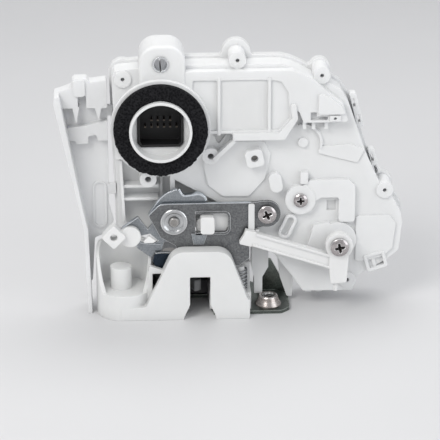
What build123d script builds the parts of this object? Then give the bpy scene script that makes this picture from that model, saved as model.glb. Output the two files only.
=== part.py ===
from build123d import *
import os
from math import atan, atan2, cos, degrees, hypot, pi, radians, sin, tan

# Door latch actuator: a side-door latch with its lock motor, in millimetres.
# X runs along the latch's mounting plate, -Y is the side that the striker comes from, +Z is up.
# The origin is the middle of the latched striker, on the outer face of the mounting plate.

# ---------------------------------------------------------------- fits and walls
RUNNING = 0.05        # radial clearance of a pin in its bore
GAP = 0.3             # gap between parts that move past each other
SEAT = 0.1            # gap round a part dropped into a moulded pocket
WALL = 2.0            # housing wall
RIB = 1.6             # moulded rib
SHEET = 2.0           # steel sheet of the brackets and plates

# ---------------------------------------------------------------- depth layers (Y)
BODY_FRONT = -24.0    # face of the striker guide
BRACKET_FRONT = -15.0
HOUSING_FRONT = -8.0
MOTOR_BOX_FRONT = -14.0
BULGE_FRONT = -9.2    # low bulge over the lock lever
SPLIT = 8.0           # joint face of the front housing and the rear cover
COVER_BACK = 22.0
COVER_SHOULDER = 15.0  # the back steps in here
COVER_STEP = 5.0
BODY_BACK = 29.0
BRACKET_BACK = BRACKET_FRONT + SHEET

# ---------------------------------------------------------------- latch
SLOT_WIDTH = 11.4
MOUTH_WIDTH = 18.2
SLOT_HEIGHT = 25.5
STRIKER_R = 4.8
BODY_HALF = 29.0      # half length of the latch body
BODY_FLOOR = 11.7     # underside of the fork pocket
DECK = 26.0           # underside of the back plate
DECK_FRONT = -12.6    # front edge of the back plate
PIN_R = 4.0
RIVET_R = 3.0
FORK_X, FORK_Y = 13.0 - BODY_HALF, 8.0
PAWL_X, PAWL_Y = BODY_HALF - 12.0, 17.0
FORK_THICK = 6.4
FORK_HUB_R = 10.5
FORK_ARM_LENGTH = 23.0
FORK_ARM_WIDTH = 12.0  # from the mouth's middle to the front arm's outer side
FORK_TURN = 42.0      # from open to latched
CREST_R = 15.7
PAWL_TIP_R = 13.0     # where the dropped pawl reaches on the fork
PAWL_DROP = 10.0      # from held off to dropped
PAWL_HUB_R = 6.5
SPRING_X, SPRING_Y = BODY_HALF - 6.0, -9.3
SPRING_R = 3.7
SPRING_FLOOR = 12.0
SPRING_LOW = BODY_FLOOR + GAP + FORK_THICK + GAP   # under the springs of fork and pawl
TUB_X, TUB_Y, TUB_R = -42.05, -8.4, 15.6
TUB_LEDGE = 14.5
TUB_TOP = 40.0
POST_R = 5.95
POST_TOP = 27.0
BUMPER_BACK = 12.0

# ---------------------------------------------------------------- fixings of the mounting plate
FIX_R = 3.0           # M6
FIX_HEIGHT = 7.0
FIXINGS = ((39.25, -7.0), (-43.85, -8.4), (-37.0, 18.0))
CONE_R = 7.5

# ---------------------------------------------------------------- levers
LEVER_X, LEVER_Z = -14.05, 55.3
LEVER_PIN_R = 2.75
WINDOW = (-2.2, 15.9, 48.8, 60.0)
WINDOW_R = 2.2
PEG_X, PEG_Z = 4.35, 54.4
PEG_WIDTH = 7.7
PEG_HEIGHT = 10.0
LINK_TRAVEL = 7.2
CLIP_X, CLIP_Z = -47.5, 48.3
CLIP_SIDE = 9.8
CLIP_DISC_X, CLIP_DISC_Z = -38.4, 47.0
CLIP_STEM_R = 2.2
ROD_R = 2.0           # rod of the outside handle
INNER_X, INNER_Z = 77.65, 41.1
ARM_TIP_X, ARM_TIP_Z = 24.0, 46.5
ARM_WIDTH = 8.0
LEVER_SCREW_FACE = -21.0
LINK_FRONT = BRACKET_BACK + GAP
LINK_BACK = LINK_FRONT + 3.0

# ---------------------------------------------------------------- lock drive
MOTOR_R = 12.0
MOTOR_FLAT = 18.3
MOTOR_X0, MOTOR_X1 = 12.0, 37.0
DRIVE_Y = 1.0         # middle plane of the worm wheel and axis of the motor
WHEEL_X, WHEEL_Z = 57.65, 98.4
WHEEL_TEETH = 24
WORM_STARTS = 2
WORM_MODULE = 1.35
WORM_PITCH_R = 3.8
WHEEL_FACE = 6.0
WORM_LENGTH = 15.0
SHAFT_R = 1.15
PINION_TEETH = 12
PINION_MODULE = 1.0
SECTOR_TEETH = 44     # teeth of the sector's full circle
PIVOT_X, PIVOT_Z = 30.65, 91.0
LOCK_ARM = 32.0
LOCK_REST = -14.5     # lock lever's arm from straight down, degrees
AXLE_R = 1.5
LEVER_FRONT = 6.2     # front face of the sector gear
LEVER_THICK = 4.0
LOCK_TURN = degrees(LINK_TRAVEL / (LOCK_ARM * cos(radians(LOCK_REST + 6.5))))
WHEEL_PITCH_R = WHEEL_TEETH * WORM_MODULE / 2
WORM_Z = WHEEL_Z + WHEEL_PITCH_R + WORM_PITCH_R
WORM_LEAD = WORM_STARTS * pi * WORM_MODULE
WHEEL_FRONT = DRIVE_Y - WHEEL_FACE / 2
WHEEL_BACK = DRIVE_Y + WHEEL_FACE / 2
PINION_R = PINION_TEETH * PINION_MODULE / 2
SECTOR_R = SECTOR_TEETH * PINION_MODULE / 2

# ---------------------------------------------------------------- housing
BOSS_R = 4.7
PILOT_R = 1.1
HEAD_R = 3.4          # heads of the cover screws
LUG_FILLET = 1.8      # hollow where a lug meets the flange
LUGS = ((-41.15, 136.3, 7.3), (21.35, 146.1, 8.0), (67.55, 136.8, 5.8),
        (103.65, 69.6, 5.8), (83.75, 16.0, 6.6))
INNER_BOSSES = ((-28.05, 79.5), (6.55, 92.3))
RIM = 1.5             # how far the joint flange stands out of the wall
SCREW1_X, SCREW1_Z = 37.55, 59.0
SCREW3_X, SCREW3_Z = 56.45, 65.5
SOCKET_X, SOCKET_Z = -21.25, 113.0
TUBE_R = 17.0
TUBE_BORE = 15.5
TUBE_FRONT = -32.0
FOAM_R = 26.3
FOAM_THICK = 5.0
DISC_R = 27.2
DISC_THICK = 3.0
DISC_FRONT = TUBE_FRONT + 2.0 + FOAM_THICK
DISC_BACK = DISC_FRONT + DISC_THICK
SOCKET_SEAT = -12.0
INSERT_FRONT = -23.0  # floor of the tube's round mouth
INSERT_HALF = 12.5
NECK_R = 23.0
BUSH_X, BUSH_Z = -20.65, 146.3
BUSH_R = 4.4
BUSH_BORE = 3.5
GUIDE_TOP, GUIDE_R = 40.5, 9.5   # arch over the striker slot
TOP_BLOCK = (-32.3, -7.2, 137.0, 156.3)
PANEL_DEPTH = 1.1     # sunk panels on the motor box
POST_SIDE = 9.8       # square post round the lock lever's axle
EDGE_CLIPS = ((((83.6, 123.7), (87.4, 123.7), (92.4, 104.0), (88.4, 104.0)), ((86.2, 118.0), (89.2, 108.8))),
              (((94.6, 90.8), (98.4, 90.8), (102.6, 76.4), (98.6, 76.4)), ((97.2, 85.8), (99.6, 78.8))))
CLIP_LEAN = 15.0      # lean of the clips' slots from upright, degrees
CABLE_CLIP = ((92.3, 30.7), (104.0, 34.1), (106.6, 24.3), (95.3, 20.9))
GUARD_FRONT = -4.0     # front of the guard's upper block
GUARD_FACE, GUARD_BACK = 3.0, 5.0
EDGE_FRONT = -12.0     # front edge of the guard's flange
SHIELD_CLIPS = (66.0, 112.0)   # heights of the guard's clips on the joint flange


# ================================================================ helpers
def outline(points, radius=1.0):
    """A closed X-Z outline with its corners rounded."""
    return make_face(FilletPolyline(*points, radius=radius, close=True))


def slab(face, front, back):
    """Extrude an X-Z face from depth front to depth back."""
    return extrude(Plane.XZ.offset(-back) * face, back - front)


def plate(face, low, high):
    """Extrude an X-Y face from height low to height high."""
    return extrude(Plane.XY.offset(low) * face, high - low)


def disc(x, z, r, front, back):
    """A round bar along Y."""
    return slab(Pos(x, z) * Circle(r), front, back)


def ring(x, z, outer, inner, front, back):
    """A tube along Y."""
    return slab(Pos(x, z) * Circle(outer) - Pos(x, z) * Circle(inner), front, back)


def upright(x, y, r, low, high):
    """A round bar along Z."""
    return plate(Pos(x, y) * Circle(r), low, high)


def block(x0, x1, y0, y1, z0, z1):
    """A box between limits."""
    return Pos((x0 + x1) / 2, (y0 + y1) / 2, (z0 + z1) / 2) * Box(x1 - x0, y1 - y0, z1 - z0)


def strip(x0, z0, x1, z1, width):
    """A straight X-Z band between two points."""
    turn = degrees(atan2(z1 - z0, x1 - x0))
    band = Rectangle(hypot(x1 - x0, z1 - z0) + width, width)
    return Pos((x0 + x1) / 2, (z0 + z1) / 2) * Rot(0, 0, turn) * band


def rib(x0, z0, x1, z1, front, back, width=RIB):
    """A moulded rib standing along Y."""
    return slab(strip(x0, z0, x1, z1, width), front, back)


def about_fork(u, v, turn):
    """A point given along and across the fork's mouth, with the fork turned from latched."""
    mouth = atan2(-FORK_Y, -FORK_X) + radians(turn)
    x = FORK_X + u * cos(mouth) - v * sin(mouth)
    y = FORK_Y + u * sin(mouth) + v * cos(mouth)
    return (x, y)


def polar_fork(r, angle):
    """A point about the fork pin, by its angle in the latched pose."""
    return (FORK_X + r * cos(radians(angle)), FORK_Y + r * sin(radians(angle)))


# ================================================================ latch
def plate_outline():
    """Outline of the mounting plate in X-Y."""
    points = ((-57.0, -8.0), (-50.0, -18.0), (46.0, -18.0), (51.0, -13.0),
              (51.5, 6.0), (40.0, 16.0), (30.0, 27.0), (-33.0, 27.0), (-46.0, 23.0))
    return outline(points, 4.0)


def fixing_cone(x, y):
    """The pressed cone round a fixing thread."""
    return Pos(x, y, FIX_HEIGHT / 2) * Cone(CONE_R, FIX_R + 1.2, FIX_HEIGHT)


def make_face_plate():
    """The steel mounting plate, with its fish mouth, pressed cones and upturned flange."""
    body = plate(plate_outline(), 0, SHEET)
    flange_face = ((33.0, 0.0), (51.0, 0.0), (50.0, 6.0), (42.0, 21.0), (38.0, 21.0))
    flange = slab(outline(flange_face, 1.0), 12.0, 12.0 + SHEET)
    body = body + flange
    for x, y in FIXINGS:
        body += fixing_cone(x, y)
    mouth = outline(((-MOUTH_WIDTH / 2, -30.0), (MOUTH_WIDTH / 2, -30.0), (SLOT_WIDTH / 2 + 1, -8.0),
                     (SLOT_WIDTH / 2 + 1, 7.0), (-SLOT_WIDTH / 2 - 1, 7.0), (-SLOT_WIDTH / 2 - 1, -8.0)), 2.0)
    body -= plate(mouth, -1, SHEET + 1)
    for x, y in FIXINGS:
        body -= upright(x, y, FIX_R, -1, FIX_HEIGHT + 1)
    for x, y in ((FORK_X, FORK_Y), (PAWL_X, PAWL_Y)):
        body -= upright(x, y, RIVET_R, -1, SHEET + 1)
    return body


def make_latch_body():
    """The moulded latch body: striker guide, fork pocket, and the tub over the left fixing."""
    half, mouth = SLOT_WIDTH / 2, MOUTH_WIDTH / 2
    guide = outline(((-44.3, 0.0), (-44.3, 7.6), (-30.3, 7.6), (-14.7, GUIDE_TOP), (15.85, GUIDE_TOP),
                     (26.7, 11.2), (27.8, 11.2), (27.8, 0.0)),
                    (1.0, 1.0, 2.5, GUIDE_R, GUIDE_R, 0.4, 0.4, 1.0))
    throat = outline(((-mouth, -1.0), (-mouth, 1.0), (-half, 9.0), (-half, SLOT_HEIGHT), (half, SLOT_HEIGHT),
                      (half, 9.0), (mouth, 1.0), (mouth, -1.0)), 0.6)
    body = slab(guide, BODY_FRONT, BRACKET_FRONT)
    body += block(-BODY_HALF, BODY_HALF, BRACKET_FRONT, BODY_BACK, 0, DECK)
    body += tub()
    body -= slab(throat, BODY_FRONT - 1, BRACKET_FRONT + 1)
    body -= block(-half, half, BRACKET_FRONT - 1, BUMPER_BACK, -1, DECK + 1)
    body -= plate(fork_pocket(), BODY_FLOOR, DECK + 0.01) - block(
        -60, 60, -60, BRACKET_FRONT, SLOT_HEIGHT, 60)
    body -= block(SPRING_X - 5.5, BODY_HALF + 1, BRACKET_FRONT - 0.01, SPRING_Y + 5.5, SPRING_FLOOR, DECK + 1)
    body += upright(SPRING_X, SPRING_Y, SPRING_R - 1.2, SPRING_FLOOR, DECK)
    body -= plate(offset(plate_outline(), SEAT), -1, SHEET) - block(-60, 60, -60, -18.0 - SEAT, -1, 30)
    body -= block(-BODY_HALF - 1, BODY_HALF + 1, 25.0, BODY_BACK + 1, -1, 4.0)
    body -= upright(FORK_X, FORK_Y, PIN_R + SEAT, 0, BODY_FLOOR + 1)
    body -= upright(PAWL_X, PAWL_Y, PIN_R + SEAT, 0, BODY_FLOOR + 1)
    for x, y in FIXINGS:
        body -= Pos(x, y, 0) * Cylinder(CONE_R + SEAT, 2 * (FIX_HEIGHT + 1))
    return body


def fork_pocket():
    """Outline of the pocket in which the fork and the pawl turn."""
    side, back = BODY_HALF - WALL, BODY_BACK - WALL
    points = ((-side, -18.6), (8.0, -18.6), (14.0, -2.0), (side, -2.0), (side, back), (-side, back))
    return outline(points, 3.0)


def tub():
    """The round tub at the left end, its hood and the post over the fixing."""
    body = upright(TUB_X, TUB_Y, TUB_R, 0, TUB_LEDGE)
    hood = Pos(TUB_X, TUB_Y) * Circle(TUB_R) - Pos(TUB_X, TUB_Y) * Circle(TUB_R - 1.8)
    side = Plane.YZ.offset(TUB_X - TUB_R - 1) * make_face(Polyline(
        (-18.0, TUB_LEDGE - 2), (12.0, TUB_LEDGE - 2), (12.0, TUB_TOP), (-2.0, TUB_TOP), (-11.0, 33.0),
        (-18.0, TUB_LEDGE), close=True))
    body += plate(hood, TUB_LEDGE - 1, TUB_TOP) & extrude(side, 2 * TUB_R + 2)
    body += upright(-43.85, TUB_Y, POST_R, TUB_LEDGE - 1, POST_TOP)
    gusset = outline(((-30.0, 7.0), (-26.0, 7.0), (-19.0, 27.0), (-28.0, 30.0)), 0.8)
    body += slab(gusset, -17.5, BRACKET_FRONT + 1)
    body -= upright(-43.85, TUB_Y, FIX_R + 1.5, FIX_HEIGHT, POST_TOP - WALL)
    return body


def make_bumper():
    """The rubber buffer that stops the striker."""
    side = SLOT_WIDTH / 2 - SEAT
    body = block(-side, side, STRIKER_R + 1.0, BUMPER_BACK - SEAT, 3.0, BODY_FLOOR)
    return fillet(body.edges().filter_by(Axis.X).group_by(Axis.Y)[0], 1.2)


def fork_profile(turn):
    """Fork outline in X-Y with its mouth, its two arms and the ratchet crest."""
    back = FORK_ARM_WIDTH - 2.0
    rear = ((0.0, -FORK_ARM_WIDTH), (FORK_ARM_LENGTH, -FORK_ARM_WIDTH), (FORK_ARM_LENGTH, back), (0.0, back))
    shape = make_face(FilletPolyline(*[about_fork(u, v, turn) for u, v in rear], radius=2.2, close=True))
    shape += Pos(FORK_X, FORK_Y) * Circle(FORK_HUB_R)
    reach = hypot(FORK_X, FORK_Y)
    root = about_fork(reach, 0, turn)
    mouth_half = STRIKER_R + 0.5
    slot = [about_fork(u, v, turn) for u, v in ((reach, -mouth_half), (40, -mouth_half), (40, mouth_half),
                                               (reach, mouth_half))]
    shape -= make_face(Polyline(*slot, close=True))
    shape -= Pos(*root) * Circle(mouth_half)
    crest = [(FORK_X, FORK_Y), polar_fork(CREST_R, 56 + turn), polar_fork(CREST_R, 64 + turn),
             polar_fork(CREST_R, 72 + turn), polar_fork(FORK_HUB_R - 0.5, 84 + turn)]
    shape += make_face(Polyline(*crest, close=True))
    return shape


def make_fork():
    """The fork, drawn open, as it waits for the striker."""
    low = BODY_FLOOR + GAP
    shape = fork_profile(-FORK_TURN) - Pos(FORK_X, FORK_Y) * Circle(PIN_R + RUNNING)
    return plate(shape, low, low + FORK_THICK)


def make_pawl():
    """The pawl, held off the fork, with the tooth that drops behind the fork's crest."""
    inner = (polar_fork(PAWL_TIP_R, 40), polar_fork(PAWL_TIP_R, 54))
    points = (inner[0], inner[1], polar_fork(PAWL_TIP_R + 4.0, 54), (PAWL_X - 17.0, PAWL_Y + 5.3),
              (PAWL_X - 5.0, PAWL_Y + 5.5), (PAWL_X, PAWL_Y), (PAWL_X - 5.0, PAWL_Y - 4.0),
              (PAWL_X - 13.0, PAWL_Y + 0.6))
    shape = make_face(Polyline(*points, close=True)) + Pos(PAWL_X, PAWL_Y) * Circle(PAWL_HUB_R)
    tail = Pos(PAWL_X + 5.0, PAWL_Y - 5.0) * Rot(0, 0, -45) * Rectangle(8.0, 6.0)
    shape += tail
    shape = Pos(PAWL_X, PAWL_Y) * Rot(0, 0, -PAWL_DROP) * Pos(-PAWL_X, -PAWL_Y) * shape
    shape -= Pos(PAWL_X, PAWL_Y) * Circle(PIN_R + RUNNING)
    low = BODY_FLOOR + GAP
    return plate(shape, low, low + FORK_THICK)


def shouldered_pin(x, y):
    """A riveted pin between the mounting plate and the back plate."""
    body = upright(x, y, PIN_R, SHEET, DECK)
    body += upright(x, y, RIVET_R, 0.3, DECK + SHEET + 0.5)
    head = upright(x, y, RIVET_R + 1.3, DECK + SHEET, DECK + SHEET + 1.4)
    return body + chamfer(head.edges().group_by(Axis.Z)[-1], 0.6)


def coil(x, y, z, mean_r, wire_r, pitch, turns):
    """A helical spring about an upright axis, from height z."""
    path = Helix(pitch, pitch * turns, mean_r)
    start = Plane(path @ 0, x_dir=(1, 0, 0), z_dir=path % 0)
    return Pos(x, y, z) * sweep(start * Circle(wire_r), path=path, is_frenet=True)


def make_back_plate():
    """The steel plate over the fork pocket, with the pin holes."""
    side, back = BODY_HALF - WALL, BODY_BACK - 4.0
    shape = outline(((1.0 - side, DECK_FRONT), (side - 14.0, DECK_FRONT), (side - 11.5, -3.0), (side, -3.0),
                     (side, back), (-side, back)), 2.0)
    for x, y in ((FORK_X, FORK_Y), (PAWL_X, PAWL_Y)):
        shape -= Pos(x, y) * Circle(RIVET_R)
    left, right, top = 1.0 - side, 14.0 - side, DECK + 7.5
    lip = outline(((left, DECK), (left, top - 3.0), (left + 3.0, top), (right - 2.0, top), (right, top - 3.0),
                   (right, DECK)), 0.8)
    front = BRACKET_BACK + 2 * GAP + SHEET
    return plate(shape, DECK, DECK + SHEET) + slab(lip, front, front + SHEET)


def make_lever_bracket():
    """The upright steel bracket that carries the outside lever and guides the lock link."""
    face = outline(((-28.2, 59.1), (-22.2, 65.0), (-17.5, 65.7), (29.0, 65.7), (31.0, 63.5), (31.0, 47.0),
                    (28.0, 44.0), (28.0, 33.0), (22.0, 28.4), (-11.0, 28.4), (-13.2, 41.1),
                    (-21.5, 46.0)), 1.4)
    face += Pos(SCREW1_X, SCREW1_Z) * Circle(7.7)
    face += outline(((29.0, 50.0), (29.0, 65.7), (36.0, 66.7), (SCREW1_X, SCREW1_Z),
                     (36.0, 51.6)), 0.5)
    x0, x1, z0, z1 = WINDOW
    face -= outline(((x0, z0), (x1, z0), (x1, z1), (x0, z1)), (0.6, WINDOW_R, WINDOW_R, 0.6))
    face -= Pos(SCREW1_X, SCREW1_Z) * Circle(2.6)
    face -= Pos(LEVER_X, LEVER_Z) * Circle(LEVER_PIN_R)
    body = slab(face, BRACKET_FRONT, BRACKET_BACK)
    rim = outline(((x0, z0 - 1.3), (x1 + 1.3, z0 - 1.3), (x1 + 1.3, z1 + 1.3), (x0, z1 + 1.3)),
                  (0.3, WINDOW_R + 1.3, WINDOW_R + 1.3, 0.3))
    rim -= outline(((x0 - 1, z0), (x1, z0), (x1, z1), (x0 - 1, z1)), (0.3, WINDOW_R, WINDOW_R, 0.3))
    body += slab(rim, BRACKET_FRONT - 0.7, BRACKET_FRONT)
    dish = ring(LEVER_X, LEVER_Z, 7.6, 5.6, BRACKET_FRONT - 1.0, BRACKET_FRONT)
    body += chamfer(dish.edges().group_by(Axis.Y)[0], 0.6)
    foot = outline(((-11.0, BRACKET_FRONT), (12.0, BRACKET_FRONT), (12.0, -3.0), (-11.0, -3.0)), 1.5)
    return body + plate(foot, DECK + SHEET, DECK + 2 * SHEET)


# ================================================================ levers and link
def make_outside_lever():
    """The outside release lever: horned steel blade with the rod arm on the left."""
    horn = outline(((-29.0, 58.0), (-24.0, 67.0), (-19.5, 71.8), (-11.2, 74.0), (-8.6, 70.2), (1.5, 70.6),
                    (4.0, 66.0), (-4.0, 63.0), (-6.0, 55.0), (-12.0, 47.0), (-20.0, 47.5)), 1.0)
    arm = outline(((-43.6, 50.4), (-34.0, 58.2), (-27.0, 61.0), (-20.0, 50.0), (-25.0, 43.0), (-33.0, 41.5),
                   (-38.0, 42.5)), 1.2)
    lobe = outline(((-34.6, 39.5), (-33.0, 44.0), (-20.0, 51.0), (-13.0, 50.0), (-16.5, 38.0), (-20.0, 34.8),
                    (-28.0, 36.2)), 1.2)
    face = horn + arm + lobe
    face -= Pos(LEVER_X, LEVER_Z) * Circle(LEVER_PIN_R + RUNNING)
    face -= Pos(CLIP_DISC_X, CLIP_DISC_Z) * Circle(CLIP_STEM_R)
    back = BRACKET_BACK + GAP + SHEET
    body = slab(face, BRACKET_BACK + GAP, back)
    tab = block(-8.5, -6.5, back - SHEET, back + 4.0, 55.0, 61.0)
    return body + tab


def make_rod_clip():
    """The moulded clip that holds the outside handle's rod."""
    front = BRACKET_BACK + GAP - 7.0
    lever_front = BRACKET_BACK + GAP
    square = Pos(CLIP_X, CLIP_Z) * Rot(0, 0, 45) * RectangleRounded(CLIP_SIDE, CLIP_SIDE, 1.2)
    disc_face = Pos(CLIP_DISC_X, CLIP_DISC_Z) * Circle(5.9)
    neck = strip(CLIP_X, CLIP_Z, CLIP_DISC_X, CLIP_DISC_Z, 6.5)
    body = slab(square, front, lever_front)
    body += slab(disc_face + neck, lever_front - 3.2, lever_front)
    body += disc(CLIP_DISC_X, CLIP_DISC_Z, CLIP_STEM_R, lever_front - 1, lever_front + SHEET + 0.5)
    body += disc(CLIP_DISC_X, CLIP_DISC_Z, CLIP_STEM_R + 0.8, lever_front + SHEET, lever_front + SHEET + 1.2)
    return body - disc(CLIP_X, CLIP_Z, ROD_R, front - 1, lever_front + 1)


def make_lever_rivet():
    """The shouldered rivet on which the outside lever turns."""
    back = BRACKET_BACK + GAP + SHEET
    body = disc(LEVER_X, LEVER_Z, LEVER_PIN_R, BRACKET_FRONT - 1.6, back + GAP + 0.5)
    body = chamfer(body.edges().group_by(Axis.Y)[0], 0.5)
    return body + disc(LEVER_X, LEVER_Z, LEVER_PIN_R + 1.6, back + GAP, back + GAP + 1.4)


def lock_pin_at(angle):
    """Middle of the lock lever's pin, with its arm at an angle from straight down."""
    return (PIVOT_X + LOCK_ARM * sin(radians(angle)), PIVOT_Z - LOCK_ARM * cos(radians(angle)))


def make_lock_link():
    """The sliding link: a moulded bar with the peg in the bracket's window and the lever's slot."""
    pin_x, pin_z = lock_pin_at(LOCK_REST)
    bar = outline(((PEG_X - 6.0, 48.0), (PEG_X + 10.0, 48.0), (18.0, 55.0), (26.3, 55.0), (26.3, 64.0),
                   (18.0, 64.0), (PEG_X + 8.0, 61.5), (PEG_X - 1.0, 58.5), (PEG_X - 6.0, 54.5)), 1.2)
    slot = Pos(pin_x, pin_z) * SlotOverall(8.0, 2 * (2.0 + SEAT), rotation=90)
    body = slab(bar - slot, LINK_FRONT, LINK_BACK)
    peg = Pos(PEG_X, PEG_Z) * RectangleRounded(PEG_WIDTH, PEG_HEIGHT, 1.6)
    body += slab(peg, BRACKET_FRONT - 5.0, LINK_FRONT + 1)
    tab = outline(((PEG_X - 8.0, 41.0), (PEG_X + 1.5, 41.0), (PEG_X + 2.0, 49.0), (PEG_X - 6.0, 49.0)), 0.8)
    return body + slab(tab, LINK_FRONT, LINK_FRONT + SHEET)


def make_inside_lever():
    """The inside opening lever: a moulded bell crank on the lower screw."""
    front = LEVER_SCREW_FACE
    back = front + 4.5
    hub = Pos(INNER_X, INNER_Z) * Circle(7.6)
    down = outline(((INNER_X - 5.0, INNER_Z), (INNER_X + 5.6, INNER_Z), (INNER_X + 4.4, 19.5),
                    (INNER_X - 4.5, 18.5), (INNER_X - 5.6, 30.0)), 1.4)
    elbow = (INNER_X - 4.0, INNER_Z - 9.5)
    arm = strip(ARM_TIP_X + 4, ARM_TIP_Z, elbow[0], elbow[1], ARM_WIDTH)
    nose = outline(((ARM_TIP_X - 2.5, ARM_TIP_Z - 3.0), (ARM_TIP_X + 1.5, ARM_TIP_Z + 3.8),
                    (ARM_TIP_X + 8.0, ARM_TIP_Z + 3.8), (ARM_TIP_X + 5.0, ARM_TIP_Z - 5.0)), 1.0)
    body = slab(hub + down, front, back)
    body += slab(arm + nose, front + 0.8, back)
    body += groove_ribs(elbow, front, back)
    body += disc(INNER_X - 1.6, 17.0, 1.1, front + 1.0, front + 3.2)
    body += Pos(INNER_X - 1.6, front + 2.1, 17.5) * Cylinder(1.1, 7.0)
    return body - disc(INNER_X, INNER_Z, 3.1 + RUNNING, front - 1, back + 1)


def groove_ribs(elbow, front, back):
    """The two long stiffening ribs on the face of the arm."""
    body = Part()
    across = atan2(elbow[1] - ARM_TIP_Z, elbow[0] - ARM_TIP_X - 4) + pi / 2
    for shift in (-ARM_WIDTH / 2 + 0.8, ARM_WIDTH / 2 - 0.8):
        dx, dz = shift * cos(across), shift * sin(across)
        body += rib(ARM_TIP_X + 7 + dx, ARM_TIP_Z - 0.8 + dz, elbow[0] + dx, elbow[1] + dz, front, back, 1.4)
    return body


# ================================================================ lock drive
def tooth_wheel(teeth, pitch_r, module, first):
    """A gear's X-Y outline with straight-flanked teeth, the first tooth at an angle in degrees."""
    root, tip = pitch_r - 1.2 * module, pitch_r + 0.95 * module
    step = 360.0 / teeth
    face = Circle(root)
    half_root = degrees((pi * module * 0.36) / root)
    half_tip = degrees((pi * module * 0.12) / tip)
    for i in range(teeth):
        a = first + i * step
        corners = ((root - 0.4, a - half_root), (tip, a - half_tip),
                   (tip, a + half_tip), (root - 0.4, a + half_root))
        points = [(r * cos(radians(b)), r * sin(radians(b))) for r, b in corners]
        face += make_face(Polyline(*points, close=True))
    return face


def make_worm_wheel():
    """The moulded worm wheel with the lock pinion behind it."""
    first = 90.0 + 180.0 / WHEEL_TEETH
    lead_angle = atan(WORM_LEAD / (2 * pi * WORM_PITCH_R))
    twist = degrees(WHEEL_FACE * tan(lead_angle) / WHEEL_PITCH_R)
    teeth = tooth_wheel(WHEEL_TEETH, WHEEL_PITCH_R, WORM_MODULE, first - twist / 2)
    rimmed = Solid.extrude_linear_with_rotation(teeth.faces()[0], (0, 0, 0), (0, 0, WHEEL_FACE), twist)
    wheel = Plane(origin=(WHEEL_X, WHEEL_BACK, WHEEL_Z), x_dir=(1, 0, 0), z_dir=(0, -1, 0)) * rimmed
    web = ring(WHEEL_X, WHEEL_Z, WHEEL_PITCH_R - 3.6, PINION_R + 2.4, WHEEL_FRONT - 1, WHEEL_FRONT + 1.6)
    wheel -= web
    to_lever = degrees(atan2(PIVOT_Z - WHEEL_Z, PIVOT_X - WHEEL_X))
    pinion = tooth_wheel(PINION_TEETH, PINION_R, PINION_MODULE, to_lever)
    wheel += slab(Pos(WHEEL_X, WHEEL_Z) * pinion, WHEEL_BACK - 0.5, LEVER_FRONT + LEVER_THICK + 0.4)
    return wheel - disc(WHEEL_X, WHEEL_Z, AXLE_R + RUNNING, -20, 30)


def make_drive_worm():
    """The two-start worm on the motor's shaft."""
    root, tip = WORM_PITCH_R - 1.2 * WORM_MODULE, WORM_PITCH_R + 0.95 * WORM_MODULE
    wide, narrow = radians(58), radians(18)
    turn = 360.0 * WORM_LENGTH / WORM_LEAD
    face = Circle(root)
    for i in range(WORM_STARTS):
        a = -pi / 2 - radians(turn / 2) + i * 2 * pi / WORM_STARTS
        corners = ((root - 0.2, a - wide), (tip, a - narrow), (tip, a + narrow), (root - 0.2, a + wide))
        edges = [(r * cos(b), r * sin(b)) for r, b in corners]
        crest = ThreePointArc(edges[1], (tip * cos(a), tip * sin(a)), edges[2])
        lines = [Line(edges[0], edges[1]), crest, Line(edges[2], edges[3]), Line(edges[3], edges[0])]
        face += make_face(lines)
    thread = Solid.extrude_linear_with_rotation(face.faces()[0], (0, 0, 0), (0, 0, WORM_LENGTH), turn)
    start = Plane(origin=(WHEEL_X - WORM_LENGTH / 2, DRIVE_Y, WORM_Z), x_dir=(0, 1, 0), z_dir=(1, 0, 0))
    worm = start * thread
    return worm - along_x(DRIVE_Y, WORM_Z, SHAFT_R, WHEEL_X - 20, WHEEL_X + 20)


def along_x(y, z, r, x0, x1):
    """A round bar along X."""
    return extrude(Plane.YZ.offset(x0) * Pos(y, z) * Circle(r), x1 - x0)


def make_motor_shaft():
    """The motor's shaft, from the rear bearing to beyond the worm."""
    return along_x(DRIVE_Y, WORM_Z, SHAFT_R, MOTOR_X0 + 2.0, WHEEL_X + WORM_LENGTH / 2 + 5.0)


def make_motor_can():
    """The motor's steel can, round with two flats and a bearing boss."""
    face = Circle(MOTOR_R) & Rectangle(MOTOR_FLAT, 2 * MOTOR_R)
    body = extrude(Plane.YZ.offset(MOTOR_X0) * Pos(DRIVE_Y, WORM_Z) * face, MOTOR_X1 - MOTOR_X0)
    body = chamfer(body.edges().group_by(Axis.X)[-1], 0.8)
    body += along_x(DRIVE_Y, WORM_Z, 3.5, MOTOR_X1, MOTOR_X1 + 2.0)
    return body - along_x(DRIVE_Y, WORM_Z, SHAFT_R + RUNNING, MOTOR_X0 + 1.7, MOTOR_X1 + 4)


def make_motor_cap():
    """The motor's moulded end cap, with its terminals."""
    face = Circle(MOTOR_R) & Rectangle(MOTOR_FLAT, 2 * MOTOR_R)
    body = extrude(Plane.YZ.offset(MOTOR_X0 - 2.2) * Pos(DRIVE_Y, WORM_Z) * face, 2.2)
    return body + along_x(DRIVE_Y, WORM_Z, 3.0, MOTOR_X0 - 3.4, MOTOR_X0 - 2.2)


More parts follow.
